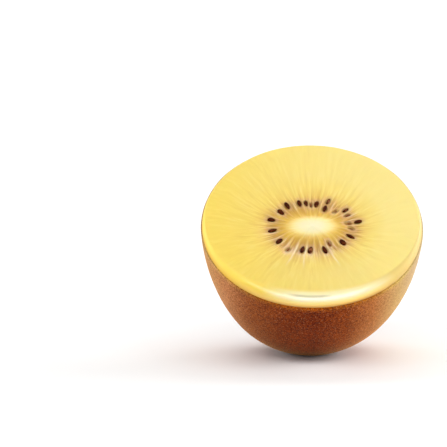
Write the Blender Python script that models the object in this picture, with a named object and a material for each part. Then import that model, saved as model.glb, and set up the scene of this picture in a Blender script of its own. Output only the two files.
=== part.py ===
"""Half of a golden kiwi fruit, cut across and resting tilted on a small flat of its skin.

Metres, +Z up. The origin is on the flat that the fruit rests on, and the cut face looks up and
forward, towards -Y. Skin, flesh and core grew as one piece, so they are one solid, and the seeds
that the knife laid bare are joined to it.
"""

import math
import random

import bmesh
import bpy
from mathutils import Matrix, Vector

MM = 0.001

# The fruit, from the cut to the stem end
HALF_WIDTH = 27.0 * MM
HALF_DEPTH = 26.5 * MM
HALF_LENGTH = 38.5 * MM
SIDE_FULLNESS = 1.95
END_FULLNESS = 2.4
UNEVENNESS = 0.005

# The cut edge: a lip of flesh that rounds over down to where the skin begins. It bulges in front
LIP_FRONT_WIDTH = 4.0 * MM
LIP_BACK_WIDTH = 1.4 * MM
LIP_BULGE = 5.0
LIP_DEPTH = 2.2 * MM
SKIN_THICKNESS = 0.35 * MM

# The pale core, and the ring of seed chambers round it. Both lie a little in front of the middle
CORE_FORWARD = 2.1 * MM
CORE_HALF_WIDTH = 6.2 * MM
CORE_HALF_DEPTH = 3.5 * MM
CORE_RISE = 0.3 * MM
RING_HALF_WIDTH = 9.9 * MM
RING_HALF_DEPTH = 7.6 * MM
RING_SPREAD = 2.4 * MM
RING_OUTSIDE = 13.7 * MM
RING_SINK = 0.3 * MM
CHAMBERS = 30
RIB_HEIGHT = 0.2 * MM

# The seeds: the knife bared one in each chamber but these, counted from +X
EMPTY_CHAMBERS = (2, 11, 14, 15, 17, 19, 23, 27, 29)
SEED_LENGTH = 2.6 * MM
SEED_WIDTH = 1.4 * MM
SEED_THICKNESS = 1.2 * MM
SEED_SIZES = (0.8, 1.1)
SEED_TAPER = 0.45
SEED_RISE = 0.2 * MM
SEED_STRAY = 0.8 * MM
SEED_LEAN = math.radians(24)
SEED_DRAW = 11

# The stem end: a shallow dimple with a woody scar in it
DIMPLE_RADIUS = 4.2 * MM
DIMPLE_DEPTH = 1.5 * MM
END_RADIUS = 5.9 * MM
SCAR_RADIUS = 1.9 * MM
SCAR_RISE = 0.7 * MM
PUCKERS = 9
PUCKER_DEPTH = 0.14 * MM

# How it rests
TILT = math.radians(39.0)
FLAT_DEPTH = 0.6 * MM

# The mesh
STEPS_ROUND = 3 * CHAMBERS
CORE_RINGS = 3
RING_RINGS = 7
OUTER_RINGS = 4
LIP_STEPS = 6
SIDE_RINGS = 17
SEED_STEPS_ROUND = 10
SEED_RINGS = 6
WELD = 0.01 * MM
SHARP = math.radians(30)

# The colours: base colour, roughness
FINISHES = {
    "flesh": ((0.93, 0.68, 0.13), 0.35),
    "core": ((0.98, 0.88, 0.55), 0.40),
    "skin": ((0.33, 0.14, 0.045), 0.75),
    "scar": ((0.10, 0.06, 0.03), 0.90),
    "seed": ((0.035, 0.014, 0.008), 0.30),
}


def clear_scene():
    for old in list(bpy.data.objects):
        bpy.data.objects.remove(old)


def make_materials():
    """One Principled BSDF for each colour, in the order of FINISHES."""
    made = []
    for name, (colour, roughness) in FINISHES.items():
        material = bpy.data.materials.new(name)
        material.use_nodes = True
        shader = material.node_tree.nodes["Principled BSDF"]
        shader.inputs["Base Color"].default_value = (*colour, 1.0)
        shader.inputs["Roughness"].default_value = roughness
        shader.inputs["Metallic"].default_value = 0.0
        material.diffuse_color = (*colour, 1.0)
        made.append(material)
    return made


def spread(start, stop, count):
    """count values that end at stop and leave start out."""
    return [start + (stop - start) * (i + 1) / count for i in range(count)]


def side_radius(depth):
    """Radius of the fruit at this depth below the cut, along X."""
    share = min(depth / HALF_LENGTH, 1.0)
    return HALF_WIDTH * (1.0 - share**SIDE_FULLNESS) ** (1.0 / END_FULLNESS)


def flesh_radius():
    """Radius of the flesh where the skin begins."""
    return side_radius(LIP_DEPTH) - SKIN_THICKNESS


def outline():
    """The turned profile as (radius, height) pairs, with the lip as wide all round as in front."""
    flat_radius = flesh_radius() - LIP_FRONT_WIDTH
    face_radii = [0.0]
    face_radii += spread(0.0, CORE_HALF_WIDTH, CORE_RINGS)
    face_radii += spread(CORE_HALF_WIDTH, RING_OUTSIDE, RING_RINGS)
    face_radii += spread(RING_OUTSIDE, flat_radius, OUTER_RINGS)
    points = [(radius, 0.0) for radius in face_radii]
    for turn in spread(0.0, math.pi / 2, LIP_STEPS):
        height = LIP_DEPTH * math.cos(turn) - LIP_DEPTH
        points.append((flat_radius + LIP_FRONT_WIDTH * math.sin(turn), height))
    points.append((side_radius(LIP_DEPTH), -LIP_DEPTH))
    start = math.asin(LIP_DEPTH / HALF_LENGTH)
    for turn in spread(start, math.pi / 2, SIDE_RINGS):
        depth = HALF_LENGTH * math.sin(turn)
        radius = side_radius(depth)
        if radius > END_RADIUS:
            points.append((radius, -depth))
    end_radius, end_height = points[-1]
    for radius in (DIMPLE_RADIUS, SCAR_RADIUS * 1.15, SCAR_RADIUS, SCAR_RADIUS * 0.5, 0.0):
        share = 1.0 - (radius / end_radius) ** 2
        points.append((radius, end_height - share * (HALF_LENGTH + end_height)))
    return points


def stretched(radius, angle):
    """The radius of a point of the cut, where the lip is narrowed from its front width to its own."""
    bulge = ((1.0 - math.sin(angle)) / 2) ** LIP_BULGE
    width = LIP_BACK_WIDTH + (LIP_FRONT_WIDTH - LIP_BACK_WIDTH) * bulge
    flat_radius = flesh_radius() - LIP_FRONT_WIDTH
    if radius > flat_radius:
        return flesh_radius() - (flesh_radius() - radius) * width / LIP_FRONT_WIDTH
    share = max(0.0, (radius - RING_OUTSIDE) / (flat_radius - RING_OUTSIDE))
    return radius + share * (LIP_FRONT_WIDTH - width)


def oval(radius):
    """Depth over width of the cut's pattern at this radius: the core is narrow, the rim almost round."""
    places = (
        (0.0, CORE_HALF_DEPTH / CORE_HALF_WIDTH),
        (CORE_HALF_WIDTH, CORE_HALF_DEPTH / CORE_HALF_WIDTH),
        (RING_HALF_WIDTH, RING_HALF_DEPTH / RING_HALF_WIDTH),
        (flesh_radius() - LIP_FRONT_WIDTH, HALF_DEPTH / HALF_WIDTH),
    )
    for (inner, low), (outer, high) in zip(places, places[1:]):
        if radius <= outer:
            return low + (high - low) * (radius - inner) / (outer - inner)
    return HALF_DEPTH / HALF_WIDTH


def forward(radius):
    """How far the cut's pattern is shifted towards -Y at this radius. The rim isn't shifted."""
    flat_radius = flesh_radius() - LIP_FRONT_WIDTH
    share = (flat_radius - radius) / (flat_radius - RING_OUTSIDE)
    return CORE_FORWARD * min(1.0, max(0.0, share))


def face_height(radius, angle):
    """Height of the cut face: a raised core, and a furrow of ribbed seed chambers round it."""
    near_ring = math.exp(-(((radius - RING_HALF_WIDTH) / RING_SPREAD) ** 2))
    core = CORE_RISE * max(0.0, 1.0 - (radius / CORE_HALF_WIDTH) ** 2)
    ribs = RIB_HEIGHT * math.cos(CHAMBERS * angle)
    return core - (RING_SINK + ribs) * near_ring


def end_lift(radius, angle):
    """How far the stem end is drawn in: the dimple, its puckers and the scar standing in it."""
    hollow = math.exp(-((radius / DIMPLE_RADIUS) ** 2))
    if radius <= SCAR_RADIUS * 1.01:
        return DIMPLE_DEPTH * hollow - SCAR_RISE
    puckered = min(1.0, radius / SCAR_RADIUS - 1.0)
    return (DIMPLE_DEPTH + PUCKER_DEPTH * math.cos(PUCKERS * angle) * puckered) * hollow


def shape_point(point):
    """Moves one point of the turned body to where the fruit has it."""
    radius = math.hypot(point.x, point.y)
    angle = math.atan2(point.y, point.x)
    if point.z > -LIP_DEPTH + WELD and radius > 0.0:
        stretch = stretched(radius, angle) / radius
        point.x *= stretch
        point.y *= stretch
        radius *= stretch
    if point.z > -WELD:
        point.z += face_height(radius, angle)
        point.y = point.y * oval(radius) - forward(radius)
        return
    swell = 1.0 + UNEVENNESS * math.cos(3.0 * angle + 0.6) * min(1.0, -point.z / HALF_WIDTH)
    if point.z < -HALF_LENGTH / 2:
        point.z += end_lift(radius, angle)
    point.x *= swell
    point.y *= swell * HALF_DEPTH / HALF_WIDTH


def cut_middle():
    """Where the middle of the cut is, when the tilted fruit stands on its flat."""
    lowest, foot = 0.0, 0.0
    for step in range(2001):
        depth = HALF_LENGTH * step / 2000
        out = side_radius(depth) * HALF_DEPTH / HALF_WIDTH
        height = -out * math.sin(TILT) - depth * math.cos(TILT)
        if height < lowest:
            lowest = height
            foot = -out * math.cos(TILT) + depth * math.sin(TILT)
    return Vector((0.0, -foot, -lowest - FLAT_DEPTH))


def paint(face, names):
    """Gives a face of the body its colour by where it lies."""
    middle = face.calc_center_median()
    if middle.z > -LIP_DEPTH + WELD:
        out = math.hypot(middle.x / CORE_HALF_WIDTH, (middle.y + CORE_FORWARD) / CORE_HALF_DEPTH)
        return names.index("core" if out < 1.0 else "flesh")
    at_end = middle.z < -HALF_LENGTH / 2 and math.hypot(middle.x, middle.y) < SCAR_RADIUS
    return names.index("scar" if at_end else "skin")


def make_body(materials, placed):
    """The turned, shaped fruit, with the flat that it rests on cut off."""
    mesh = bmesh.new()
    points = [mesh.verts.new((radius, 0.0, height)) for radius, height in outline()]
    edges = [mesh.edges.new(pair) for pair in zip(points, points[1:])]
    bmesh.ops.spin(
        mesh, geom=points + edges, axis=(0, 0, 1), cent=(0, 0, 0),
        angle=2 * math.pi, steps=STEPS_ROUND, use_merge=True,
    )
    bmesh.ops.remove_doubles(mesh, verts=mesh.verts, dist=WELD)
    for vert in mesh.verts:
        shape_point(vert.co)
    bmesh.ops.recalc_face_normals(mesh, faces=mesh.faces)
    names = list(FINISHES)
    for face in mesh.faces:
        face.material_index = paint(face, names)
        face.smooth = True

    to_fruit = placed.inverted()
    cut = bmesh.ops.bisect_plane(
        mesh, geom=mesh.verts[:] + mesh.edges[:] + mesh.faces[:], dist=0.001 * MM,
        plane_co=to_fruit @ Vector((0, 0, 0)),
        plane_no=to_fruit.to_3x3() @ Vector((0, 0, 1)), clear_inner=True,
    )
    rim = [edge for edge in cut["geom_cut"] if isinstance(edge, bmesh.types.BMEdge)]
    bmesh.ops.edgeloop_fill(mesh, edges=rim, mat_nr=names.index("skin"))
    bmesh.ops.recalc_face_normals(mesh, faces=mesh.faces)
    for edge in mesh.edges:
        edge.smooth = edge.calc_face_angle() < SHARP
    for edge in rim:
        edge.smooth = False

    data = bpy.data.meshes.new("kiwi_half")
    mesh.to_mesh(data)
    mesh.free()
    body = bpy.data.objects.new("kiwi_half", data)
    for material in materials:
        data.materials.append(material)
    bpy.context.scene.collection.objects.link(body)
    return body


def seed_places():
    """Each bared seed's place on the cut face, its heading and its size."""
    draw = random.Random(SEED_DRAW)
    for chamber in range(CHAMBERS):
        if chamber not in EMPTY_CHAMBERS:
            angle = (chamber + draw.uniform(-0.2, 0.2)) * 2 * math.pi / CHAMBERS
            radius = RING_HALF_WIDTH + draw.uniform(-SEED_STRAY, SEED_STRAY)
            lean = draw.uniform(-SEED_LEAN, SEED_LEAN)
            yield angle, radius, lean, draw.uniform(*SEED_SIZES)


def make_seeds(material):
    """The seeds, sunk about half into the cut face, in a collection of their own."""
    seeds = bpy.data.collections.new("seeds")
    for number, (angle, radius, lean, size) in enumerate(seed_places()):
        mesh = bmesh.new()
        bmesh.ops.create_uvsphere(
            mesh, u_segments=SEED_STEPS_ROUND, v_segments=SEED_RINGS, radius=0.5
        )
        for vert in mesh.verts:
            taper = 1.0 - SEED_TAPER * vert.co.z
            vert.co.x *= taper
            vert.co.y *= taper
        x = radius * math.cos(angle)
        y = radius * math.sin(angle) * oval(radius)
        height = face_height(radius, angle) + SEED_RISE
        place = (
            Matrix.Translation((x, y - forward(radius), height))
            @ Matrix.Rotation(math.atan2(y, x) + lean, 4, "Z")
            @ Matrix.Rotation(-math.pi / 2, 4, "Y")
            @ Matrix.Diagonal((SEED_THICKNESS * size, SEED_WIDTH * size, SEED_LENGTH * size, 1.0))
        )
        bmesh.ops.transform(mesh, matrix=place, verts=mesh.verts)
        for face in mesh.faces:
            face.smooth = True
        data = bpy.data.meshes.new(f"seed_{number}")
        data.materials.append(material)
        mesh.to_mesh(data)
        mesh.free()
        seeds.objects.link(bpy.data.objects.new(data.name, data))
    bpy.context.scene.collection.children.link(seeds)
    return seeds


def join_seeds(body, seeds):
    """Fuses the seeds to the flesh that they grow in, in one body."""
    union = body.modifiers.new("seeds", "BOOLEAN")
    union.operation = "UNION"
    union.solver = "EXACT"
    union.operand_type = "COLLECTION"
    union.collection = seeds
    union.material_mode = "TRANSFER"
    graph = bpy.context.evaluated_depsgraph_get()
    joined = bpy.data.meshes.new_from_object(body.evaluated_get(graph))
    body.modifiers.clear()
    body.data = joined
    for seed in list(seeds.objects):
        bpy.data.objects.remove(seed)
    bpy.data.collections.remove(seeds)


def main():
    clear_scene()
    materials = make_materials()
    placed = Matrix.Translation(cut_middle()) @ Matrix.Rotation(TILT, 4, "X")
    body = make_body(materials, placed)
    join_seeds(body, make_seeds(materials[-1]))
    body.matrix_world = placed


main()
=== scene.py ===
# %% [markdown]
# # A cut golden kiwi fruit
# This lesson dresses half of a golden kiwi fruit. The fruit was cut across, and it rests, tilted
# forward, on a small flat of its brown skin. The solid frame already has its size and its balance.
# What is missing is what the eye knows it by: a moist yellow face with fine rays, a creamy core, a
# ring of dark seeds, and a thin skin with specks and down.

import math
import random

import bmesh
import bpy
from mathutils import Euler, Matrix, Vector, noise


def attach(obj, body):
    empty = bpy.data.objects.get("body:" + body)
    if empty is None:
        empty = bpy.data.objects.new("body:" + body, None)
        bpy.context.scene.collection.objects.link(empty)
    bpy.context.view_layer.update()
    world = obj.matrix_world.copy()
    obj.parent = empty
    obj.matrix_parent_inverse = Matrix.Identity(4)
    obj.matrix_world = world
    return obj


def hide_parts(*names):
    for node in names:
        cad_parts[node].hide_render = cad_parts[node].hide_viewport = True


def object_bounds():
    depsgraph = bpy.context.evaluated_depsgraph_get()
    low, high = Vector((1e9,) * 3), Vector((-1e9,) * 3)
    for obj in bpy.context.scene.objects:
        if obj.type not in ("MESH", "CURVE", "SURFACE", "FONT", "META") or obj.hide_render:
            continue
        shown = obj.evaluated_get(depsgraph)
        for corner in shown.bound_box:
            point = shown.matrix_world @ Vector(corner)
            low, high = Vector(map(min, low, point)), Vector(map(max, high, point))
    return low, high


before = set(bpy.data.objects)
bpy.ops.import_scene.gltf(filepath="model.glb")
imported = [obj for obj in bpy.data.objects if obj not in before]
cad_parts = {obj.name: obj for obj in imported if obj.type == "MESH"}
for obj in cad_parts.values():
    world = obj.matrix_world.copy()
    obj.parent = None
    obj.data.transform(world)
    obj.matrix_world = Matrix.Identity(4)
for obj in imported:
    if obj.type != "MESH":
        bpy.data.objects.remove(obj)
solid_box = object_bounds()
MM = 0.001
print("the solid fruit is", [round(side / MM, 1) for side in solid_box[1] - solid_box[0]], "mm")

# %% [markdown]
# ## The fruit's own sizes
# The body of a kiwi is a turned shape, a little fuller than an ellipse. One formula gives its
# radius at each depth below the cut, and every piece below is measured from it: the skin follows it
# outside, and the flesh follows it a skin's thickness further in. The frame gives the half width.
# A grown fruit is never quite round, so its side also swells a little in three places.

# %% The fruit's own sizes
HALF_WIDTH = (solid_box[1].x - solid_box[0].x) / 2
DEPTH_TO_WIDTH = 26.5 / 27.0
HALF_LENGTH = 38.5 * MM
SIDE_FULLNESS = 1.95
END_FULLNESS = 2.4
SWELL = 0.005
SWELL_TURN = 0.6
LIP_FRONT_WIDTH = 4.0 * MM
LIP_BACK_WIDTH = 0.7 * MM
LIP_BULGE = 5.0
LIP_DEPTH = 2.2 * MM
SKIN_THICKNESS = 0.35 * MM


def side_radius(depth):
    """Radius of the fruit at this depth below the cut, along X."""
    share = min(max(depth, 0.0) / HALF_LENGTH, 1.0)
    return HALF_WIDTH * (1.0 - share**SIDE_FULLNESS) ** (1.0 / END_FULLNESS)


def swell_at(angle, height):
    """How much wider the side is at this angle and height, as a factor. At the cut it is 1."""
    return 1.0 + SWELL * math.cos(3.0 * angle + SWELL_TURN) * min(1.0, -height / HALF_WIDTH)


SKIN_RADIUS = side_radius(LIP_DEPTH)
FLESH_RADIUS = SKIN_RADIUS - SKIN_THICKNESS
FLAT_RADIUS = FLESH_RADIUS - LIP_FRONT_WIDTH
print("the skin starts at a radius of", round(SKIN_RADIUS / MM, 2), "mm")

# %% [markdown]
# ## How the fruit stands
# It is easiest to model the fruit upright, with its cut at height zero, and to tilt it at the end.
# The tilted fruit touches the table where its side is lowest, so a search down the side finds that
# point, and the fruit is moved until it is on the origin, sunk by the depth of the flat.

# %% How the fruit stands
TILT = math.radians(39.0)
FLAT_DEPTH = 0.6 * MM
SEARCH_STEPS = 2000


def cut_middle():
    """Where the middle of the cut is, when the tilted fruit stands on its flat."""
    lowest, foot = 0.0, 0.0
    for step in range(SEARCH_STEPS + 1):
        depth = HALF_LENGTH * step / SEARCH_STEPS
        out = side_radius(depth) * DEPTH_TO_WIDTH
        height = -out * math.sin(TILT) - depth * math.cos(TILT)
        if height < lowest:
            lowest = height
            foot = -out * math.cos(TILT) + depth * math.sin(TILT)
    return Vector((0.0, -foot, -lowest - FLAT_DEPTH))


CUT_MIDDLE = cut_middle()
STANDING = Matrix.Translation(CUT_MIDDLE) @ Matrix.Rotation(TILT, 4, "X")
print("the middle of the cut is at", [round(value / MM, 2) for value in CUT_MIDDLE], "mm")

# %% [markdown]
# ## The camera
# A long lens from half a metre looks down at the fruit by eight degrees and a little from its left.
# The picture is 447 pixels square, and the middle of the cut belongs at a known pixel of it, right
# of the picture's centre. The camera first looks straight at that point and is then panned and
# tipped by the angles that put it there, which needs no lens shift.

# %% The camera
PICTURE_SIZE = 447
CUT_PIXEL = (312.0, 220.0)
CAMERA_DISTANCE = 500 * MM
CAMERA_AZIMUTH = math.radians(-2.2)
CAMERA_HEIGHT_ANGLE = math.radians(8.0)
PIXELS_PER_METRE = 4.138 / MM
FOCAL_PIXELS = PIXELS_PER_METRE * CAMERA_DISTANCE


def make_camera():
    """A camera at the picture's viewing angle, with the cut's middle on its pixel."""
    data = bpy.data.cameras.new("camera")
    data.sensor_width = 36.0
    data.lens = data.sensor_width * FOCAL_PIXELS / PICTURE_SIZE
    data.clip_start = 0.01
    data.clip_end = 100.0
    camera = bpy.data.objects.new("camera", data)
    back = Vector((
        math.sin(CAMERA_AZIMUTH) * math.cos(CAMERA_HEIGHT_ANGLE),
        -math.cos(CAMERA_AZIMUTH) * math.cos(CAMERA_HEIGHT_ANGLE),
        math.sin(CAMERA_HEIGHT_ANGLE),
    ))
    pan = math.atan((CUT_PIXEL[0] - PICTURE_SIZE / 2) / FOCAL_PIXELS)
    tip = math.atan((CUT_PIXEL[1] - PICTURE_SIZE / 2) / FOCAL_PIXELS)
    camera.rotation_mode = "QUATERNION"
    camera.location = CUT_MIDDLE + back * CAMERA_DISTANCE
    aim = (-back).to_track_quat("-Z", "Y")
    camera.rotation_quaternion = aim @ Euler((tip, pan, 0.0)).to_quaternion()
    bpy.context.scene.collection.objects.link(camera)
    bpy.context.scene.camera = camera
    return camera


camera = make_camera()
print("the lens is", round(camera.data.lens), "mm")

# %% [markdown]
# ## Helpers for the meshes
# Each piece is turned or shaped in a bmesh, stood on the table, and handed to an object that stays
# at the origin. Shading is smooth, because nothing on a fruit has a sharp edge but the cut skin.

# %% Helpers for the meshes
WELD = 0.002 * MM


def spread(start, stop, count):
    """count values that end at stop and leave start out."""
    return [start + (stop - start) * (step + 1) / count for step in range(count)]


def turn_profile(points, steps):
    """A bmesh of a profile, given as (radius, height) points, turned round Z."""
    mesh = bmesh.new()
    verts = [mesh.verts.new((radius, 0.0, height)) for radius, height in points]
    edges = [mesh.edges.new(pair) for pair in zip(verts, verts[1:])]
    bmesh.ops.spin(
        mesh, geom=verts + edges, axis=(0, 0, 1), cent=(0, 0, 0),
        angle=2 * math.pi, steps=steps, use_merge=True,
    )
    bmesh.ops.remove_doubles(mesh, verts=mesh.verts, dist=WELD)
    bmesh.ops.recalc_face_normals(mesh, faces=mesh.faces)
    return mesh


def make_piece(mesh, name, lowest=0.0):
    """Stands a bmesh of the upright fruit on the table, presses it flat there, and makes it a piece."""
    bmesh.ops.transform(mesh, matrix=STANDING, verts=mesh.verts)
    for vert in mesh.verts:
        vert.co.z = max(vert.co.z, lowest)
    for face in mesh.faces:
        face.smooth = True
    data = bpy.data.meshes.new(name)
    mesh.to_mesh(data)
    mesh.free()
    piece = bpy.data.objects.new(name, data)
    bpy.context.scene.collection.objects.link(piece)
    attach(piece, "root")
    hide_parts("kiwi_half")
    return piece


# %% [markdown]
# ## The pattern on the cut
# A kiwi is built like a wheel. Round the pale core stand the seed chambers, each with a thin wall to the
# next, and the seeds lie in them with the pointed end inwards. The knife bared the seeds below, read
# from the picture: how far round each lies, counted from +X, how far from the core's middle, how it
# leans off the radius, its length and width, and how far the flesh veils it. Pale strands run out of the
# ring along the walls, most of them short and faint, and three in front long and bright. The pattern is
# round while the fruit is modelled, and a last step squeezes it oval.

# %% The pattern on the cut
CORE_RADIUS = 6.2 * MM
CORE_OVAL = 3.5 / 6.2
CORE_FORWARD = 2.1 * MM
RING_RADIUS = 9.9 * MM
RING_OVAL = 7.6 / 9.9
RING_SPREAD = 2.4 * MM
RING_OUTSIDE = 13.7 * MM

SEEDS = (
    # round, out, lean, length, width, veil, in degrees and millimetres
    (357, 9.4, -30, 1.97, 0.76, 0.75),
    (12, 8.9, -9, 1.82, 0.68, 0.70),
    (11, 11.3, 11, 2.16, 0.93, 0.00),
    (31, 10.0, -14, 1.73, 0.65, 0.55),
    (41, 10.9, 0, 1.82, 0.60, 0.25),
    (51, 9.2, -12, 1.63, 0.58, 0.70),
    (69, 9.0, 13, 2.30, 0.86, 0.00),
    (69, 11.5, -4, 1.92, 0.65, 0.32),
    (83, 10.0, -8, 2.02, 1.12, 0.25),
    (91, 9.8, 4, 1.54, 0.58, 0.45),
    (97, 10.4, 4, 1.92, 0.90, 0.20),
    (106, 10.6, -6, 2.06, 0.90, 0.10),
    (123, 10.8, -14, 2.40, 0.95, 0.00),
    (139, 9.9, -10, 1.97, 1.12, 0.00),
    (162, 10.3, 10, 1.92, 0.99, 0.00),
    (188, 9.7, 5, 2.30, 0.86, 0.05),
    (216, 9.9, 18, 2.11, 1.03, 0.00),
    (237, 11.0, 2, 1.73, 0.54, 0.60),
    (255, 9.8, 2, 2.30, 0.96, 0.00),
    (266, 9.7, -8, 2.40, 1.12, 0.32),
    (286, 10.0, 2, 2.30, 0.96, 0.00),
    (297, 8.5, -13, 1.92, 0.58, 0.50),
    (317, 9.7, -20, 1.92, 1.29, 0.00),
    (336, 9.9, -16, 2.40, 0.90, 0.00),
)
SECOND_IN_CHAMBER = 12
CHAMBER_ANGLE = math.radians(12.0)
STRAND_START = 8.2 * MM
STRAND_HALF_WIDTH = 0.19 * MM
STRAND_DRAW = 5
STRAND_REACH = (11.0 * MM, 13.5 * MM)
STRAND_PALENESS = (0.0, 0.55)
LONG_STRANDS = (246, 260, 292)
LONG_REACH = 17.0 * MM
LONG_PALENESS = 0.85


def oval(radius):
    """Depth over width of the pattern at this radius: the core is narrow, the rim almost round."""
    places = (
        (0.0, CORE_OVAL),
        (CORE_RADIUS, CORE_OVAL),
        (RING_RADIUS, RING_OVAL),
        (FLAT_RADIUS, DEPTH_TO_WIDTH),
    )
    for (inner, low), (outer, high) in zip(places, places[1:]):
        if radius <= outer:
            return low + (high - low) * (radius - inner) / (outer - inner)
    return DEPTH_TO_WIDTH


def forward(radius):
    """How far the pattern is shifted towards the front at this radius. The rim isn't shifted."""
    share = (FLAT_RADIUS - radius) / (FLAT_RADIUS - RING_OUTSIDE)
    return CORE_FORWARD * min(1.0, max(0.0, share))


def squeezed(x, y):
    """The place on the oval cut of a point of the round pattern."""
    radius = math.hypot(x, y)
    return Vector((x, y * oval(radius) - forward(radius), 0.0))


def chamber_walls():
    """The angles of the thin walls: halfway between seeds, and a chamber apart where none shows."""
    middles = sorted({math.radians(seed[0]) for seed in SEEDS if seed[0] != SECOND_IN_CHAMBER})
    walls = []
    for here, there in zip(middles, middles[1:] + [middles[0] + 2 * math.pi]):
        gaps = max(1, round((there - here) / CHAMBER_ANGLE))
        walls += [here + (there - here) * (gap + 0.5) / gaps for gap in range(gaps)]
    return walls


def draw_strands():
    """For each wall, how far out its pale strand runs and how pale it is."""
    draw = random.Random(STRAND_DRAW)
    strands = []
    for wall in WALLS:
        reach, pale = draw.uniform(*STRAND_REACH), draw.uniform(*STRAND_PALENESS)
        if any(abs(math.degrees(wall) - turn) < 3 for turn in LONG_STRANDS):
            reach, pale = LONG_REACH, LONG_PALENESS
        strands.append((wall, reach, pale))
    return strands


WALLS = chamber_walls()
STRANDS = draw_strands()
print(len(SEEDS), "bared seeds and", len(WALLS), "chamber walls")

# %% [markdown]
# ## The relief of the cut face
# A knife leaves ripe flesh almost flat, and yet not quite: the core stands a little proud, the ring
# of chambers sinks, the walls and the firm fibres stay up as fine ridges, and each seed sits in a
# pit. These heights are true geometry, a few tenths of a millimetre, because the light that grazes
# the face shows each of them.

# %% The relief of the cut face
CORE_RISE = 0.3 * MM
RING_SINK = 0.34 * MM
WALL_HEIGHT = 0.3 * MM
WALL_HALF_ANGLE = math.radians(1.9)
WALL_WAVER = 0.025
STRAND_WAVER = 0.03
STRAND_FADE_IN = 1.5 * MM
STRAND_FADE_OUT = 3 * MM
PIT_DEPTH = 0.28 * MM
PIT_RADIUS = 1.15 * MM
PIT_STRETCH = 1.5
PIT_STEEPNESS = 1.6
FIBRE_HEIGHT = 0.045 * MM
FIBRE_COUNT = 11.0
FIBRE_CHANGE = 0.12
WAVE_HEIGHT = 0.09 * MM
WAVE_LENGTH = 7 * MM
FIBRE_FADE_IN = 3 * MM


def seed_place(seed):
    """The seed's place on the oval cut, and its bearing there."""
    degrees, out, lean = seed[:3]
    turn = math.radians(degrees)
    place = squeezed(out * MM * math.cos(turn), out * MM * math.sin(turn))
    bearing = math.atan2(place.y + CORE_FORWARD, place.x) + math.radians(lean)
    return place, bearing


SEED_PLACES = [seed_place(seed) for seed in SEEDS]


def near_ring(radius):
    """1 on the ring of chambers, fading out on both sides."""
    return math.exp(-(((radius - RING_RADIUS) / RING_SPREAD) ** 2))


def round_place(angle, count, along):
    """A place to read noise at that changes round the fruit by this count, with no seam."""
    return Vector((math.cos(angle) * count, math.sin(angle) * count, along))


def wall_here(angle, radius):
    """1 on a chamber wall, 0 between walls. The walls waver a little."""
    waver = WALL_WAVER * noise.noise(round_place(angle, 3, radius / MM / 3))
    nearest = min(abs(math.remainder(angle + waver - wall, 2 * math.pi)) for wall in WALLS)
    return math.exp(-((nearest / WALL_HALF_ANGLE) ** 2))


def strand_here(angle, radius):
    """How pale the flesh is by the strands that run out of the ring along the walls."""
    waver = STRAND_WAVER * noise.noise(round_place(angle, 4, radius / MM / 4))
    palest = 0.0
    for wall, reach, pale in STRANDS:
        across = radius * abs(math.remainder(angle + waver - wall, 2 * math.pi))
        if across < 4 * STRAND_HALF_WIDTH and STRAND_START < radius < reach:
            inner = (radius - STRAND_START) / STRAND_FADE_IN
            fade = min(1.0, inner, (reach - radius) / STRAND_FADE_OUT)
            palest = max(palest, pale * fade * math.exp(-((across / STRAND_HALF_WIDTH) ** 2)))
    return palest


def pit_here(place):
    """1 at the middle of a seed, 0 away from all. A pit is longer along its seed."""
    deepest = 0.0
    for middle, bearing in SEED_PLACES:
        off = place - middle
        along = off.x * math.cos(bearing) + off.y * math.sin(bearing)
        across = off.y * math.cos(bearing) - off.x * math.sin(bearing)
        far = (along / PIT_STRETCH) ** 2 + across**2
        deepest = max(deepest, math.exp(-far / PIT_RADIUS**2 * PIT_STEEPNESS))
    return deepest


def fibres_here(angle, radius):
    """Fine rays, from -1 to 1: noise that is stretched along the radius."""
    around = round_place(angle, FIBRE_COUNT, radius / MM * FIBRE_CHANGE)
    return noise.noise(around) * 0.65 + noise.noise(around * 2.1) * 0.35


def face_height(radius, angle, place, wall, pit):
    """Height of the cut face over its plane."""
    ring = near_ring(radius)
    fade = min(1.0, radius / FIBRE_FADE_IN)
    height = CORE_RISE * max(0.0, 1.0 - (radius / CORE_RADIUS) ** 2)
    height += ring * (WALL_HEIGHT * wall - RING_SINK)
    height -= PIT_DEPTH * pit
    height += FIBRE_HEIGHT * fibres_here(angle, radius) * fade
    height += WAVE_HEIGHT * noise.noise(place / WAVE_LENGTH)
    return height


# %% [markdown]
# ## The flesh
# The flesh is one turned solid: the flat face, the soft round lip that a cut edge gets, and the side,
# just inside the skin. Its rings are closest in the ring of chambers, where the detail is. The lip
# is turned as wide as it bulges in front, and then narrowed towards the back. Besides its height,
# each point keeps where it was while the pattern was still round, how far it is on a wall, in a pit
# or on a strand, and how near it is to the skin's edge and to the lip's bulge, for the material.

# %% The flesh
FACE_STEPS = 400
CORE_RINGS = 14
CHAMBER_RINGS = 44
OUTER_RINGS = 30
LIP_STEPS = 16
SIDE_RINGS = 26
DENSE_FROM = 5.0 * MM
PIT_REACH = 4.5 * MM
EDGE_RISE = 1.3 * MM
SKIN_OVERLAP = 0.05 * MM


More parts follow.
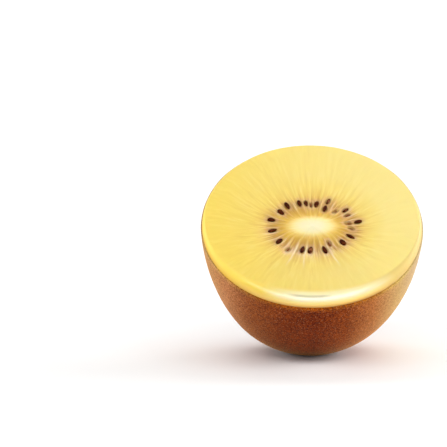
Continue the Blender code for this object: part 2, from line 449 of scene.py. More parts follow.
def flesh_profile():
    """The turned profile as (radius, height) pairs, from the face's middle to the stem end."""
    radii = [0.0]
    radii += spread(0.0, DENSE_FROM, CORE_RINGS)
    radii += spread(DENSE_FROM, RING_OUTSIDE, CHAMBER_RINGS)
    radii += spread(RING_OUTSIDE, FLAT_RADIUS, OUTER_RINGS)
    points = [(radius, 0.0) for radius in radii]
    for turn in spread(0.0, math.pi / 2, LIP_STEPS):
        out = FLAT_RADIUS + (LIP_FRONT_WIDTH + SKIN_OVERLAP) * math.sin(turn)
        points.append((out, LIP_DEPTH * math.cos(turn) - LIP_DEPTH))
    start = math.asin(LIP_DEPTH / HALF_LENGTH)
    inset = SKIN_THICKNESS - SKIN_OVERLAP
    for turn in spread(start, math.pi / 2, SIDE_RINGS):
        depth = HALF_LENGTH * math.sin(turn)
        points.append((max(0.0, side_radius(depth) - inset), inset - depth))
    points[-1] = (0.0, points[-1][1])
    return points


def bulge_at(angle):
    """1 in the middle of the front, where the lip bulges, and 0 at the back."""
    return ((1.0 - math.sin(angle)) / 2) ** LIP_BULGE


def lip_width(angle):
    """How wide the lip is at this angle."""
    return LIP_BACK_WIDTH + (LIP_FRONT_WIDTH - LIP_BACK_WIDTH) * bulge_at(angle)


def edge_rise(angle):
    """How far the skin's edge comes up along the lip. Only behind it nearly reaches the face."""
    return EDGE_RISE * min(1.0, max(0.0, 2.0 * math.sin(angle) - 0.2))


def skin_edge_turn(angle):
    """How far down the lip, as a turn from its top, the skin's edge lies."""
    return math.acos(edge_rise(angle) / LIP_DEPTH)


def stretched(radius, angle):
    """The radius of a point of the cut, where the lip is narrowed from its front width to its own."""
    width = lip_width(angle)
    if radius > FLAT_RADIUS:
        return FLESH_RADIUS - (FLESH_RADIUS - radius) * width / LIP_FRONT_WIDTH
    share = max(0.0, (radius - RING_OUTSIDE) / (FLAT_RADIUS - RING_OUTSIDE))
    return radius + share * (LIP_FRONT_WIDTH - width)


def make_flesh():
    """The flesh, with its relief and the masks that its material reads."""
    mesh = turn_profile(flesh_profile(), FACE_STEPS)
    grown = mesh.verts.layers.float_vector.new("grown")
    masks = mesh.verts.layers.float_vector.new("masks")
    lip = mesh.verts.layers.float_vector.new("lip")
    for vert in mesh.verts:
        point = vert.co
        radius = math.hypot(point.x, point.y)
        angle = math.atan2(point.y, point.x)
        if point.z > -LIP_DEPTH + WELD and radius > 0.0:
            stretch = stretched(radius, angle) / radius
            point.x *= stretch
            point.y *= stretch
            radius *= stretch
        turn = math.acos(min(1.0, max(0.0, 1.0 + point.z / LIP_DEPTH)))
        vert[lip] = (min(1.0, turn / skin_edge_turn(angle)), bulge_at(angle), 0.0)
        vert[grown] = point / MM
        if point.z > -WELD:
            place = squeezed(point.x, point.y)
            wall = wall_here(angle, radius)
            pit = pit_here(place) if abs(radius - RING_RADIUS) < PIT_REACH else 0.0
            vert[masks] = (wall, pit, strand_here(angle, radius))
            place.z = face_height(radius, angle, place, wall, pit)
            vert.co = place
        else:
            swell = swell_at(angle, point.z)
            lift = end_lift(radius) if point.z < -HALF_LENGTH / 2 else 0.0
            wave = WAVE_HEIGHT * noise.noise(squeezed(point.x, point.y) / WAVE_LENGTH)
            rise = wave * max(0.0, 1.0 + point.z / LIP_DEPTH)
            vert.co = (point.x * swell, point.y * swell * DEPTH_TO_WIDTH, point.z + lift + rise)
    return make_piece(mesh, "flesh", lowest=SKIN_THICKNESS - SKIN_OVERLAP)


# %% [markdown]
# ## The skin
# The skin is a thin leathery cup. Its profile runs down the outside, round the stem end, and back up
# the inside, so that the turned shape is closed and the cut edge shows its real thickness. The edge
# lies at the foot of the lip in front, and behind it comes up nearly to the face. Slow noise makes
# the skin a little uneven, as a grown thing is, and finer noise gives it its grain. The stem end is
# drawn into a dimple with light puckers round it.

# %% The skin
SKIN_STEPS = 360
SKIN_RINGS = 190
INNER_RINGS = 30
EDGE_ROUNDING = 0.08 * MM
EDGE_REACH = 4 * MM
DIMPLE_RADIUS = 4.2 * MM
DIMPLE_DEPTH = 1.5 * MM
PUCKERS = 9
PUCKER_DEPTH = 0.14 * MM
SCAR_RADIUS = 1.9 * MM
UNEVEN_HEIGHT = 0.12 * MM
UNEVEN_LENGTH = 9 * MM
GRAIN_HEIGHT = 0.035 * MM
GRAIN_LENGTH = 0.7 * MM


def end_lift(radius, angle=0.0):
    """How far the stem end is drawn in, with puckers where an angle is given."""
    hollow = math.exp(-((radius / DIMPLE_RADIUS) ** 2))
    puckered = min(1.0, max(0.0, radius / SCAR_RADIUS - 1.0)) if angle else 0.0
    return (DIMPLE_DEPTH + PUCKER_DEPTH * math.cos(PUCKERS * angle) * puckered) * hollow


def skin_profile():
    """The cup's profile: down the outside to the stem end, then up the inside to the cut edge."""
    start = math.asin(LIP_DEPTH / HALF_LENGTH)
    outside = [(SKIN_RADIUS - EDGE_ROUNDING, -LIP_DEPTH), (SKIN_RADIUS, -LIP_DEPTH - EDGE_ROUNDING)]
    for turn in spread(start, math.pi / 2, SKIN_RINGS)[:-1]:
        depth = HALF_LENGTH * math.sin(turn)
        if depth > LIP_DEPTH + 2 * EDGE_ROUNDING:
            outside.append((side_radius(depth), -depth))
    outside.append((0.0, -HALF_LENGTH))
    inside = [(0.0, SKIN_THICKNESS - HALF_LENGTH)]
    for turn in reversed(spread(start, math.pi / 2, INNER_RINGS)[:-1]):
        depth = HALF_LENGTH * math.sin(turn)
        radius = side_radius(depth) - SKIN_THICKNESS
        if radius > 0.0:
            inside.append((radius, SKIN_THICKNESS * math.sin(turn) ** 4 - depth))
    inside.append((FLESH_RADIUS, -LIP_DEPTH))
    return outside, inside


def edge_raised(point, angle):
    """Draws the skin's edge up along the lip, where it rises."""
    share = max(0.0, 1.0 + (point.z + LIP_DEPTH) / EDGE_REACH)
    height = point.z + edge_rise(angle) * share**2
    if height > -LIP_DEPTH:
        turn = math.acos(1.0 + height / LIP_DEPTH)
        inset = lip_width(angle) * (1.0 - math.sin(turn))
        shrink = 1.0 - inset / math.hypot(point.x, point.y)
        return Vector((point.x * shrink, point.y * shrink, height))
    return Vector((point.x, point.y, height))


def make_skin():
    """The skin as a closed thin cup, uneven and grained outside."""
    outside, inside = skin_profile()
    mesh = turn_profile(outside + inside, SKIN_STEPS)
    closing = [edge for edge in mesh.edges if edge.is_boundary]
    bmesh.ops.bridge_loops(mesh, edges=closing)
    bmesh.ops.recalc_face_normals(mesh, faces=mesh.faces)
    mesh.normal_update()
    below_edge = mesh.verts.layers.float.new("below_edge")
    for vert in mesh.verts:
        vert[below_edge] = (-vert.co.z - LIP_DEPTH) / MM
        angle = math.atan2(vert.co.y, vert.co.x)
        below = min(1.0, (-vert.co.z - LIP_DEPTH) / (2 * MM))
        point = edge_raised(vert.co, angle)
        radius = math.hypot(point.x, point.y)
        swell = swell_at(angle, point.z)
        lift = end_lift(radius, angle) if point.z < -HALF_LENGTH / 2 else 0.0
        moved = Vector((point.x * swell, point.y * swell * DEPTH_TO_WIDTH, point.z + lift))
        outward = vert.normal.dot(Vector((point.x, point.y, point.z / 2)).normalized()) > 0
        rough = UNEVEN_HEIGHT * noise.noise(point / UNEVEN_LENGTH) * below
        if outward:
            rough += GRAIN_HEIGHT * noise.noise(point / GRAIN_LENGTH) * below
        vert.co = moved + vert.normal * (rough if outward else -rough)
    return make_piece(mesh, "skin")


skin = make_skin()
flesh = make_flesh()
for piece in (skin, flesh):
    print(piece.name, "has", len(piece.data.polygons), "faces")

# %% [markdown]
# ## The seeds
# A kiwi seed is a small flattened drop, rounded outside and pointed towards the core. Each starts as
# a sphere, is drawn to a drop by a taper, gets the faint pits of its coat from noise, and is laid on
# the flesh in its pit. Proud seeds stand half out. Veiled ones lie deeper, and only their backs show.

# %% The seeds
SEED_FLATNESS = 0.8
SEED_TAPER = 0.45
SEED_BLUNTNESS = 0.25
SEED_GRAIN = 0.035
SEED_GRAIN_SCALE = 9
SEED_NOISE_STEP = 3.7
SEED_PITCH = 9
SEED_ROLL = 25
SEED_RISE = 0.36 * MM
SEED_SINK = 0.75 * MM


def make_seed(number, seed, place, bearing):
    """One seed, lying in its pit on the cut face."""
    degrees, out, _, length, width, veil = seed
    draw = random.Random(number)
    mesh = bmesh.new()
    bmesh.ops.create_uvsphere(mesh, u_segments=24, v_segments=16, radius=0.5)
    veiled = mesh.verts.layers.float.new("veil")
    own_noise = Vector((number * SEED_NOISE_STEP, 0.0, 0.0))
    for vert in mesh.verts:
        vert[veiled] = veil
        grain = 1.0 + SEED_GRAIN * noise.noise(vert.co * SEED_GRAIN_SCALE + own_noise)
        taper = 1.0 - SEED_TAPER * vert.co.z - SEED_BLUNTNESS * vert.co.z**2
        vert.co.x *= taper * grain
        vert.co.y *= taper * grain
    ground = face_height(out * MM, math.radians(degrees), place, 0.0, 1.0)
    height = ground + SEED_RISE - SEED_SINK * veil
    pitch = math.radians(draw.uniform(-SEED_PITCH, SEED_PITCH))
    roll = math.radians(draw.uniform(-SEED_ROLL, SEED_ROLL))
    lay = (
        Matrix.Translation((place.x, place.y, height))
        @ Matrix.Rotation(bearing, 4, "Z")
        @ Matrix.Rotation(pitch - math.pi / 2, 4, "Y")
        @ Matrix.Rotation(roll, 4, "Z")
        @ Matrix.Diagonal((width * MM * SEED_FLATNESS, width * MM, length * MM, 1.0))
    )
    bmesh.ops.transform(mesh, matrix=lay, verts=mesh.verts)
    return make_piece(mesh, f"seed_{number + 1:02d}")


seeds = [
    make_seed(number, seed, place, bearing)
    for number, (seed, (place, bearing)) in enumerate(zip(SEEDS, SEED_PLACES))
]
print(len(seeds), "seeds of", len(seeds[0].data.polygons), "faces each")

# %% [markdown]
# ## The stem scar
# Where the stalk broke off, a small woody button is left in the dimple. A circle is extruded and
# inset into a low button with a sunken middle, and noise frays its rim.

# %% The stem scar
SCAR_SIDES = 48
SCAR_FRAY = 0.07
SCAR_GRAIN = 0.09 * MM
SCAR_STEPS = (
    # inset, rise, in millimetres
    (0.0, 0.6),
    (0.12, 0.25),
    (0.3, 0.0),
    (0.35, -0.18),
    (0.45, -0.06),
    (0.3, 0.02),
)


def make_scar():
    """The woody button in the dimple at the stem end."""
    mesh = bmesh.new()
    bmesh.ops.create_circle(mesh, cap_ends=True, segments=SCAR_SIDES, radius=SCAR_RADIUS * 1.05)
    mesh.faces.ensure_lookup_table()
    face = mesh.faces[0]
    for inset, rise in SCAR_STEPS:
        if inset:
            bmesh.ops.inset_individual(mesh, faces=[face], thickness=inset * MM, use_even_offset=True)
        else:
            side = bmesh.ops.extrude_discrete_faces(mesh, faces=[face])
            face = side["faces"][0]
        for vert in face.verts:
            vert.co.z += rise * MM
    bmesh.ops.triangulate(mesh, faces=[face])
    bmesh.ops.recalc_face_normals(mesh, faces=mesh.faces)
    for vert in mesh.verts:
        angle = math.atan2(vert.co.y, vert.co.x)
        fray = 1.0 + SCAR_FRAY * noise.noise(round_place(angle, 4, vert.co.z / MM))
        vert.co.x *= fray
        vert.co.y *= fray
        vert.co.z += SCAR_GRAIN * noise.noise(vert.co / (0.4 * MM))
    bottom = -HALF_LENGTH + DIMPLE_DEPTH + 0.25 * MM
    flip = Matrix.Translation((0, 0, bottom)) @ Matrix.Rotation(math.pi, 4, "X")
    bmesh.ops.transform(mesh, matrix=flip, verts=mesh.verts)
    return make_piece(mesh, "stem_scar")


scar = make_scar()
print("the stem scar has", len(scar.data.polygons), "faces")

# %% [markdown]
# ## Materials
# The colours are given as the eye reads them from a screen, from 0 to 255, and a helper turns them
# into the linear values that the shaders use. Others give a node's inputs what they need, add a
# node, and start a material.

# %% Helpers for the materials
def linear(red, green, blue):
    """A screen colour, 0 to 255, as the linear RGBA of a shader."""
    def one(value):
        share = value / 255
        return share / 12.92 if share <= 0.04045 else ((share + 0.055) / 1.055) ** 2.4
    return (one(red), one(green), one(blue), 1.0)


def grey(value):
    """A grey, 0 to 1, as the RGBA of a mask."""
    return (value, value, value, 1.0)


def give(tree, node, values):
    """Gives inputs of a node, by name or number, a socket to follow or a value."""
    for name, value in values.items():
        if isinstance(value, bpy.types.NodeSocket):
            tree.links.new(value, node.inputs[name])
        else:
            node.inputs[name].default_value = value


def add(tree, kind, values=None, **settings):
    """Adds a node with its settings, and gives its inputs their values."""
    node = tree.nodes.new(kind)
    for name, value in settings.items():
        setattr(node, name, value)
    give(tree, node, values or {})
    return node


def new_material(name):
    """A material with a bare Principled BSDF, as (material, tree, shader)."""
    material = bpy.data.materials.new(name)
    material.use_nodes = True
    tree = material.node_tree
    return material, tree, tree.nodes["Principled BSDF"]


# %% [markdown]
# ## Nodes that work out a value
# A material is a sum that is worked out at every point: how far out it is, how much of a ray, which
# colour. Each helper here adds one term of such a sum. It takes sockets or numbers and gives a socket
# back, so that one can stand inside another.

# %% Nodes that work out a value
def maths(tree, operation, *terms, clamp=False):
    """A Math node."""
    values = dict(enumerate(terms))
    return add(tree, "ShaderNodeMath", values, operation=operation, use_clamp=clamp).outputs[0]


def times(tree, first, second, clamp=False):
    """The product of two terms."""
    return maths(tree, "MULTIPLY", first, second, clamp=clamp)


def plus(tree, first, second):
    """The sum of two terms."""
    return maths(tree, "ADD", first, second)


def minus(tree, first, second):
    """The difference of two terms."""
    return maths(tree, "SUBTRACT", first, second)


def remap(tree, value, start, stop, low=0.0, high=1.0, **settings):
    """Turns start to stop into low to high."""
    values = {"Value": value, "From Min": start, "From Max": stop, "To Min": low, "To Max": high}
    return add(tree, "ShaderNodeMapRange", values, **settings).outputs[0]


def mix(tree, share, first, second, blend="MIX"):
    """A colour between two colours, or their product."""
    values = {0: share, 6: first, 7: second}
    return add(tree, "ShaderNodeMix", values, data_type="RGBA", blend_type=blend).outputs[2]


def ramp(tree, value, stops):
    """A colour ramp through (place, colour) stops."""
    node = add(tree, "ShaderNodeValToRGB", {0: value})
    elements = node.color_ramp.elements
    while len(elements) < len(stops):
        elements.new(0.5)
    for element, (place, colour) in zip(elements, stops):
        element.position = place
        element.color = colour
    return node.outputs[0]


def pattern(tree, kind, place, **values):
    """A texture that reads this place."""
    return add(tree, kind, {"Vector": place, **values}).outputs[0]


def parts_of(tree, vector):
    """The three numbers of a vector."""
    return add(tree, "ShaderNodeSeparateXYZ", {0: vector}).outputs


def attribute(tree, name, output="Vector"):
    """A value that the mesh keeps at each point."""
    return add(tree, "ShaderNodeAttribute", attribute_name=name).outputs[output]


def bumps(tree, height, strength, distance):
    """A normal with small bumps of this height."""
    values = {"Height": height, "Strength": strength, "Distance": distance}
    return add(tree, "ShaderNodeBump", values).outputs[0]


# %% [markdown]
# ## A group for fine rays
# The rays of the flesh and the grain of the woody scar are the same effect: noise that runs long one
# way and changes fast the other. This group takes a place on the round pattern, turns it into a
# bearing and a distance, and reads noise on a ring, so that the rays meet with no seam.

# %% A group for fine rays
def vector_maths(tree, operation, values):
    """A Vector Math node."""
    return add(tree, "ShaderNodeVectorMath", values, operation=operation)


def make_rays_group():
    """A node group: rays of noise round the Z axis of the place it is given."""
    group = bpy.data.node_groups.new("rays", "ShaderNodeTree")
    group.interface.new_socket("Place", in_out="INPUT", socket_type="NodeSocketVector")
    for name, start in (("Count", 10.0), ("Change outwards", 0.1), ("Detail", 3.0)):
        socket = group.interface.new_socket(name, in_out="INPUT", socket_type="NodeSocketFloat")
        socket.default_value = start
    for name in ("Value", "Distance"):
        group.interface.new_socket(name, in_out="OUTPUT", socket_type="NodeSocketFloat")
    taken = group.nodes.new("NodeGroupInput").outputs
    flat = vector_maths(group, "MULTIPLY", {0: taken["Place"], 1: (1.0, 1.0, 0.0)}).outputs[0]
    distance = vector_maths(group, "LENGTH", {0: flat}).outputs["Value"]
    bearing = vector_maths(group, "NORMALIZE", {0: flat}).outputs[0]
    spun = vector_maths(group, "SCALE", {0: bearing, "Scale": taken["Count"]}).outputs[0]
    outwards = times(group, distance, taken["Change outwards"])
    outwards = add(group, "ShaderNodeCombineXYZ", {"Z": outwards}).outputs[0]
    values = {
        "Vector": vector_maths(group, "ADD", {0: spun, 1: outwards}).outputs[0],
        "Scale": 1.0,
        "Detail": taken["Detail"],
        "Roughness": 0.6,
    }
    value = add(group, "ShaderNodeTexNoise", values).outputs[0]
    add(group, "NodeGroupOutput", {"Value": value, "Distance": distance})
    return group


RAYS = make_rays_group()
print("the rays group has", len(RAYS.nodes), "nodes")


def rays(tree, place, count, change, detail=3.0):
    """Places the group in a material, and gives its Value and Distance sockets."""
    values = {"Place": place, "Count": count, "Change outwards": change, "Detail": detail}
    node = add(tree, "ShaderNodeGroup", values, node_tree=RAYS)
    return node.outputs["Value"], node.outputs["Distance"]


# %% [markdown]
# ## The colours of the cut
# The colour goes by the distance from the core: cream, then clear amber, then the shaded chambers, then
# bright yellow. The rays shift that distance, so that every border frays outwards. Over it lie the ring
# of chambers, with brown rays, pinkish walls and a pale halo round each seed with painted shade in its
# pit, and then the rays of the outer flesh, light ones and dark ones in groups, with soft clouds.

# %% The colours of the cut
FACE_RADIUS_MM = 27.0


def colour_outwards(tree, distance, broad, fine):
    """The colour by the distance from the core, frayed by the rays."""
    shift = times(tree, minus(tree, broad, 0.5), 3.0)
    shift = plus(tree, shift, times(tree, minus(tree, fine, 0.5), 5.0))
    near_core = times(tree, distance, 0.12, clamp=True)
    frayed = plus(tree, distance, times(tree, shift, near_core))
    return ramp(tree, maths(tree, "DIVIDE", frayed, FACE_RADIUS_MM, clamp=True), (
        (0.000, linear(254, 242, 206)),
        (0.110, linear(254, 240, 192)),
        (0.165, linear(253, 233, 162)),
        (0.215, linear(242, 208, 116)),
        (0.265, linear(219, 171, 66)),
        (0.320, linear(204, 153, 64)),
        (0.380, linear(200, 150, 80)),
        (0.430, linear(228, 186, 98)),
        (0.480, linear(238, 203, 102)),
        (0.560, linear(242, 212, 100)),
        (1.000, linear(244, 216, 98)),
    ))


def with_ring(tree, colour, far, dark_ray):
    """Adds the ring of chambers: brown rays, pinkish walls, halos, painted shade in the pits, and pale
    strands.
    """
    wall, pit, strand = parts_of(tree, attribute(tree, "masks"))
    ring = ramp(tree, far, ((0.24, grey(0.0)), (0.33, grey(1.0)), (0.39, grey(1.0)), (0.47, grey(0.0))))
    colour = mix(tree, times(tree, ring, times(tree, dark_ray, 0.6)), colour, linear(158, 106, 58))
    colour = mix(tree, times(tree, wall, times(tree, ring, 0.45)), colour, linear(236, 198, 146))
    halo = ramp(tree, pit, ((0.10, grey(0.0)), (0.32, grey(0.5)), (0.60, grey(0.3)), (0.75, grey(0.0))))
    colour = mix(tree, halo, colour, linear(224, 176, 134))
    # Painted shade in the pit round each seed.
    painted_pit_shade = ramp(tree, pit, ((0.45, grey(0.0)), (0.72, grey(0.7))))
    colour = mix(tree, painted_pit_shade, colour, linear(112, 58, 34))
    return mix(tree, strand, colour, linear(250, 228, 192))


def with_rays(tree, colour, far, broad, fine, dark_ray):
    """Adds the light rays, the dark rays in their groups, and soft clouds."""
    outward = ramp(tree, far, (
        (0.18, grey(0.2)),
        (0.26, grey(0.8)),
        (0.50, grey(0.6)),
        (0.80, grey(0.25)),
        (0.95, grey(0.2)),
    ))
    light_ray = times(tree, minus(tree, fine, 0.52), 4.0, clamp=True)
    light_colour = ramp(tree, far, ((0.30, linear(248, 220, 98)), (0.42, linear(252, 233, 156))))
    colour = mix(tree, times(tree, light_ray, outward), colour, light_colour)
    grouped = remap(tree, broad, 0.44, 0.6, 0.3, 1.0)
    dark_share = times(tree, times(tree, dark_ray, outward), grouped)
    colour = mix(tree, dark_share, colour, linear(213, 171, 58))
    clouds = times(tree, minus(tree, 0.52, broad), 3.0, clamp=True)
    return mix(tree, times(tree, clouds, outward), colour, linear(232, 200, 84))


# %% [markdown]
# ## The lip's colours
# Towards +X the face is painted paler, a painted reflection of the white room, and the lip darker and
# greyer, painted shade. Where the lip bulges in front it is wet, and its colour goes from yellow to
# almost white down the bend, a painted highlight, and then to golden brown, with one thin grey line
# painted where that highlight breaks. Elsewhere it is plain, and turns to a darker gold towards the
# skin.

# %% The lip's colours
# Where the painted break in the highlight runs across the front, in millimetres of X.
LINE_MIDDLE_MM = -1.3
LINE_ENDS_MM = (5.5, 3.0)
FRONT_BULGE = 0.8


def painted_light_towards_x(tree, place):
    """How strong the painted light is here, more towards +X."""
    across = vector_maths(tree, "DOT_PRODUCT", {0: place, 1: (0.95, 0.3, 0.0)})
    return remap(tree, across.outputs["Value"], -20.0, 22.0, 0.0, 0.75)


def lip_colours(tree, down, bulge, x, painted_light_share):
    """The lip's colour, from its top to the skin's edge."""
    plain = ramp(tree, down, (
        (0.00, linear(250, 219, 108)),
        (0.25, linear(249, 220, 96)),
        (0.50, linear(244, 213, 88)),
        (1.00, linear(216, 164, 60)),
    ))
    # Painted shade: the plain lip is darker and greyer towards +X.
    plain = mix(tree, painted_light_share, plain, linear(202, 178, 122))
    # Painted highlight: down the bend, the wet lip's colour goes almost white.
    wet_and_highlight = ramp(tree, down, (
        (0.00, linear(250, 220, 126)),
        (0.20, linear(252, 238, 178)),
        (0.48, linear(254, 246, 214)),
        (0.66, linear(250, 226, 140)),
        (0.82, linear(234, 186, 70)),
        (1.00, linear(172, 104, 20)),
    ))
    lit = plus(tree, bulge, times(tree, x, 0.01))
    colour = mix(tree, remap(tree, lit, 0.6, 0.95), plain, wet_and_highlight)
    # Painted break in the highlight: one thin grey line in front.
    painted_highlight_break = ramp(tree, down, ((0.26, grey(0.0)), (0.32, grey(0.7)), (0.36, grey(0.7)), (0.42, grey(0.0))))
    off = maths(tree, "ABSOLUTE", minus(tree, x, LINE_MIDDLE_MM))
    in_front = maths(tree, "GREATER_THAN", bulge, FRONT_BULGE)
    painted_highlight_break = times(tree, painted_highlight_break, times(tree, remap(tree, off, *LINE_ENDS_MM), in_front))
    return mix(tree, painted_highlight_break, colour, linear(188, 178, 134))


# %% [markdown]
# ## The flesh's material
# Ripe golden flesh is clouded glass: light goes in, loses its blue, and comes out a little further
# on. So it is yellow by its colours above and by subsurface scattering. The wet part of the lip has a
# clear coat for the juice, and the rest of the lip is rougher towards the skin.

# %% The flesh's material
def make_flesh_material():
    """Golden flesh with rays, a cream core, shaded seed chambers and a wet lip in front."""
    material, tree, shader = new_material("golden_flesh")
    grown = attribute(tree, "grown")
    broad, distance = rays(tree, grown, 7.0, 0.10)
    fine, _ = rays(tree, grown, 24.0, 0.19, 4.0)
    far = maths(tree, "DIVIDE", distance, FACE_RADIUS_MM, clamp=True)
    dark_ray = times(tree, minus(tree, 0.54, fine), 4.0, clamp=True)
    colour = colour_outwards(tree, distance, broad, fine)
    colour = with_ring(tree, colour, far, dark_ray)
    colour = with_rays(tree, colour, far, broad, fine, dark_ray)
    # Painted reflection: the face is paler towards +X.
    painted_light_share = painted_light_towards_x(tree, grown)
    paler = times(tree, painted_light_share, remap(tree, distance, 11.0, 18.0))
    colour = mix(tree, paler, colour, linear(246, 229, 152))
    down, bulge, _ = parts_of(tree, attribute(tree, "lip"))
    x, _, _ = parts_of(tree, grown)
    lip = lip_colours(tree, down, bulge, x, painted_light_share)
    colour = mix(tree, times(tree, down, 6.0, clamp=True), colour, lip)

    place = add(tree, "ShaderNodeTexCoord").outputs["Object"]
    grain = pattern(tree, "ShaderNodeTexNoise", place, Scale=900.0, Detail=3.0)
    wet_and_highlight = remap(tree, bulge, 0.4, 0.8)
    dry = times(tree, down, minus(tree, 0.5, times(tree, wet_and_highlight, 0.5)))
    give(tree, shader, {
        "Base Color": colour,
        "Roughness": plus(tree, remap(tree, grain, 0.0, 1.0, 0.25, 0.5), dry),
        "Normal": bumps(tree, plus(tree, fine, times(tree, grain, 0.5)), 0.3, 0.1 * MM),
        "IOR": 1.37,
        "Subsurface Weight": 0.3,
        "Subsurface Radius": (1.0, 0.62, 0.2),
        "Subsurface Scale": 1.0 * MM,
        "Coat Weight": wet_and_highlight,
        "Coat IOR": 1.6,
        "Coat Roughness": 0.24,
    })
    return material


flesh.data.materials.append(make_flesh_material())
print("the flesh's material has", len(flesh.data.materials[0].node_tree.nodes), "nodes")

# %% [markdown]
# ## The skin's colours
# The skin's brown is painted darkest and reddest in the middle of the front, a painted shade, and paler
# towards its flanks, a painted rim light; behind it is an even golden brown. Just under the cut the
# light that has gone through the flesh is painted in as a warmer glow. The dark spots of its velvet are
# deep in the middle and faint on the pale flanks, where the painted rim light washes them out.

# %% The skin's colours
def brown_and_painted_light_across(tree, across, behind):
    """The skin's brown with painted light, from its left flank to its right: painted shade in the
    middle, painted rim light on the flanks. Behind it the brown is even.
    """
    colour = ramp(tree, across, (
        (0.02, linear(212, 156, 92)),
        (0.11, linear(208, 138, 86)),
        (0.21, linear(170, 93, 42)),
        (0.36, linear(148, 65, 18)),
        (0.50, linear(145, 58, 12)),
        (0.64, linear(165, 77, 22)),
        (0.76, linear(200, 124, 64)),
        (0.88, linear(205, 170, 108)),
        (0.98, linear(203, 182, 148)),
    ))
    return mix(tree, behind, colour, linear(156, 96, 50))


def painted_glow_across(tree, across):
    """A painted glow: the warmer brown just under the cut, for the light that has gone through the
    flesh.
    """
    return ramp(tree, across, (
        (0.02, linear(222, 184, 116)),
        (0.12, linear(214, 158, 84)),
        (0.26, linear(182, 108, 34)),
        (0.50, linear(208, 106, 0)),
        (0.74, linear(190, 118, 30)),
        (0.87, linear(212, 180, 92)),
        (0.98, linear(206, 188, 136)),
    ))


def depth_across(tree, across):
    """What the skin's colour is multiplied by in its dark spots, faint where the painted rim light lies.
    """
    return ramp(tree, across, (
        (0.02, (0.60, 0.54, 0.50, 1.0)),
        (0.20, (0.44, 0.37, 0.34, 1.0)),
        (0.50, (0.24, 0.18, 0.16, 1.0)),
        (0.70, (0.42, 0.36, 0.33, 1.0)),
        (0.86, (0.70, 0.65, 0.61, 1.0)),
        (0.98, (0.86, 0.83, 0.81, 1.0)),
    ))


# %% [markdown]
# ## The skin's material
# The skin is thin matte leather. Over its brown lie slow patches, a fine velvet of light and dark,
# the dark breathing pores and pale flecks, each from a noise or from the middles of cells. A pale
# sheen stands for the finest down, which lights up where the skin turns away.

# %% The skin's material
def fruit_place(tree):
    """The place of a point on the upright fruit in millimetres, from the middle of the cut."""
    values = {
        "Vector": add(tree, "ShaderNodeTexCoord").outputs["Object"],
        "Location": CUT_MIDDLE,
        "Rotation": (TILT, 0.0, 0.0),
        "Scale": (MM, MM, MM),
    }
    return add(tree, "ShaderNodeMapping", values, vector_type="TEXTURE").outputs[0]


def make_skin_material():
    """Matte speckled brown skin with a pale sheen."""
    material, tree, shader = new_material("kiwi_skin")
    place = fruit_place(tree)
    x, y, _ = parts_of(tree, place)
    across = remap(tree, x, -FACE_RADIUS_MM, FACE_RADIUS_MM)
    behind = remap(tree, y, 0.0, 20.0, interpolation_type="SMOOTHSTEP")
    # Where the painted glow lies: the last millimetres under the cut.
    edge = remap(tree, attribute(tree, "below_edge", "Fac"), 1.5, 0.1, 0.0, 0.85)
    # Painted light: the brown has painted shade in the middle and painted rim light on the flanks, and a
    # painted glow under the cut.
    colour = mix(tree, edge, brown_and_painted_light_across(tree, across, behind), painted_glow_across(tree, across))
    patches = pattern(tree, "ShaderNodeTexNoise", place, Scale=0.12, Detail=4.0, Roughness=0.6)
    patch = ramp(tree, patches, ((0.30, (0.80, 0.76, 0.74, 1.0)), (0.70, grey(1.0))))
    colour = mix(tree, 1.0, colour, patch, blend="MULTIPLY")
    depth = depth_across(tree, across)
    velvet = pattern(tree, "ShaderNodeTexNoise", place, Scale=2.3, Detail=2.0, Roughness=0.6)
    grain = times(tree, minus(tree, velvet, 0.38), 4.0, clamp=True)
    colour = mix(tree, grain, mix(tree, 1.0, colour, depth, blend="MULTIPLY"), colour)
    pores = pattern(tree, "ShaderNodeTexVoronoi", place, Scale=1.1, Randomness=1.0)
    pore = remap(tree, pores, 0.30, 0.12)
    colour = mix(tree, times(tree, pore, 0.35), colour, depth, blend="MULTIPLY")
    flecks = pattern(tree, "ShaderNodeTexVoronoi", place, Scale=2.6, Randomness=1.0)
    fleck = remap(tree, flecks, 0.26, 0.08)
    give(tree, shader, {
        "Base Color": mix(tree, times(tree, fleck, 0.55), colour, linear(240, 176, 134)),
        "Roughness": remap(tree, velvet, 0.0, 1.0, 0.55, 0.8),
        "Normal": bumps(tree, minus(tree, velvet, times(tree, pore, 0.5)), 0.6, 0.12 * MM),
        "Specular IOR Level": 0.05,
        "Sheen Weight": 0.5,
        "Sheen Roughness": 0.25,
        "Sheen Tint": linear(255, 204, 136),
    })
    return material


skin.data.materials.append(make_skin_material())
print("the skin's material has", len(skin.data.materials[0].node_tree.nodes), "nodes")

# %% [markdown]
# ## The seeds' and the scar's materials
# A bared seed is a very dark brown with lighter streaks, and a film of flesh lies in patches over the
# veiled ones. The scar is dry and fibrous, and its fibres are the same rays as the flesh's, closer
# and rougher.

# %% The seeds' and the scar's materials
def make_seed_material():
    """Very dark brown seed coat with lighter streaks, veiled by flesh where it lies deep."""
    material, tree, shader = new_material("seed_coat")
    place = add(tree, "ShaderNodeTexCoord").outputs["Object"]
    streaks = pattern(tree, "ShaderNodeTexNoise", place, Scale=1100.0, Detail=3.0)
    colour = ramp(tree, streaks, (
        (0.35, linear(58, 18, 2)),
        (0.58, linear(78, 30, 4)),
        (0.80, linear(116, 56, 18)),
    ))
    film = pattern(tree, "ShaderNodeTexNoise", place, Scale=1300.0, Detail=1.0)
    patch = plus(tree, minus(tree, film, 0.72), attribute(tree, "veil", "Fac"))
    patch = times(tree, times(tree, patch, 4.0, clamp=True), 0.8)
    give(tree, shader, {
        "Base Color": mix(tree, patch, colour, linear(150, 94, 58)),
        "Roughness": remap(tree, streaks, 0.0, 1.0, 0.2, 0.5),
        "Specular IOR Level": 0.05,
    })
    return material


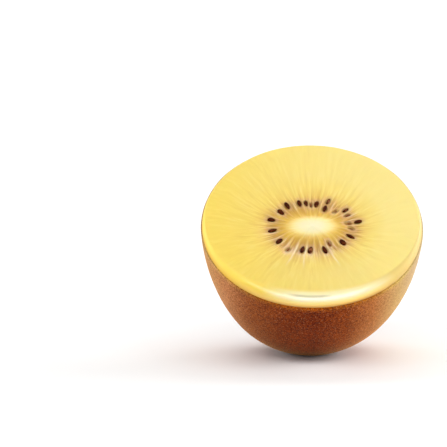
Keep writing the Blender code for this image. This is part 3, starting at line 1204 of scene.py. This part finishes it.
def make_scar_material():
    """Dry, fibrous, grey-brown wood."""
    material, tree, shader = new_material("woody_scar")
    fibres, _ = rays(tree, fruit_place(tree), 6.0, 1.2, 5.0)
    colour = ramp(tree, fibres, (
        (0.30, linear(46, 30, 20)),
        (0.55, linear(92, 66, 44)),
        (0.75, linear(138, 108, 78)),
    ))
    normal = bumps(tree, fibres, 0.8, 0.15 * MM)
    give(tree, shader, {"Base Color": colour, "Roughness": 0.9, "Normal": normal})
    return material


seed_coat = make_seed_material()
for seed in seeds:
    seed.data.materials.append(seed_coat)
scar.data.materials.append(make_scar_material())
print(len(bpy.data.materials), "materials")

# %% [markdown]
# ## The studio
# The fruit stands on a plain pale floor in a soft white room. The room itself shines a little from
# everywhere, and softboxes are brighter windows in it, each given by its bearing, where 0 is in front
# and 90 to the right, and by its height over the horizon. A long narrow one in front draws the
# bright line on the wet lip, and a wide one high behind lights the face. One low on each side, a
# little behind the fruit, lights up the edges of its skin.

# %% The studio
ROOM_BRIGHTNESS = 0.30
SOFT_EDGE = 5.0
SOFTBOXES = (
    # bearing, height, half width, half height, brightness
    (0.0, 43.0, 60.0, 4.0, 4.7),
    (180.0, 56.0, 55.0, 12.0, 1.5),
    (-108.0, 14.0, 22.0, 10.0, 4.2),
    (106.0, 14.0, 26.0, 12.0, 6.5),
)
SOFTBOX_SOCKETS = (
    "Bearing",
    "Height",
    "Middle bearing",
    "Middle height",
    "Half width",
    "Half height",
    "Brightness",
)


def make_softbox_group():
    """A node group: the brightness of one softbox in the direction that it is given."""
    group = bpy.data.node_groups.new("softbox", "ShaderNodeTree")
    for name in SOFTBOX_SOCKETS:
        group.interface.new_socket(name, in_out="INPUT", socket_type="NodeSocketFloat")
    group.interface.new_socket("Value", in_out="OUTPUT", socket_type="NodeSocketFloat")
    taken = group.nodes.new("NodeGroupInput").outputs
    value = taken["Brightness"]
    for here, middle, half in (
        ("Bearing", "Middle bearing", "Half width"),
        ("Height", "Middle height", "Half height"),
    ):
        off = maths(group, "WRAP", minus(group, taken[here], taken[middle]), 180.0, -180.0)
        past = minus(group, maths(group, "ABSOLUTE", off), taken[half])
        fade = remap(group, past, SOFT_EDGE, 0.0, interpolation_type="SMOOTHSTEP")
        value = times(group, value, fade)
    add(group, "NodeGroupOutput", {"Value": value})
    return group


def make_room():
    """The world: a soft white room with its softboxes."""
    world = bpy.data.worlds.new("room")
    world.use_nodes = True
    tree = world.node_tree
    x, y, z = parts_of(tree, add(tree, "ShaderNodeTexCoord").outputs["Generated"])
    bearing = maths(tree, "DEGREES", maths(tree, "ARCTAN2", x, times(tree, y, -1.0)))
    height = maths(tree, "DEGREES", maths(tree, "ARCSINE", z))
    group = make_softbox_group()
    brightness = ROOM_BRIGHTNESS
    for softbox in SOFTBOXES:
        values = dict(zip(SOFTBOX_SOCKETS, (bearing, height, *softbox)))
        shine = add(tree, "ShaderNodeGroup", values, node_tree=group).outputs["Value"]
        brightness = plus(tree, shine, brightness)
    give(tree, tree.nodes["Background"], {"Color": grey(1.0), "Strength": brightness})
    scene = bpy.context.scene
    scene.world = world
    scene.view_settings.view_transform = "Standard"


def make_floor():
    """A plain pale floor, far larger than the view."""
    mesh = bmesh.new()
    bmesh.ops.create_grid(mesh, x_segments=1, y_segments=1, size=12.0)
    data = bpy.data.meshes.new("floor")
    mesh.to_mesh(data)
    mesh.free()
    floor = bpy.data.objects.new("floor", data)
    bpy.context.scene.collection.objects.link(floor)
    material, tree, shader = new_material("pale_floor")
    pale = (0.98, 0.98, 0.975, 1.0)
    give(tree, shader, {"Base Color": pale, "Roughness": 0.7, "Specular IOR Level": 0.2})
    data.materials.append(material)


make_room()
make_floor()
print(len(SOFTBOXES), "softboxes")
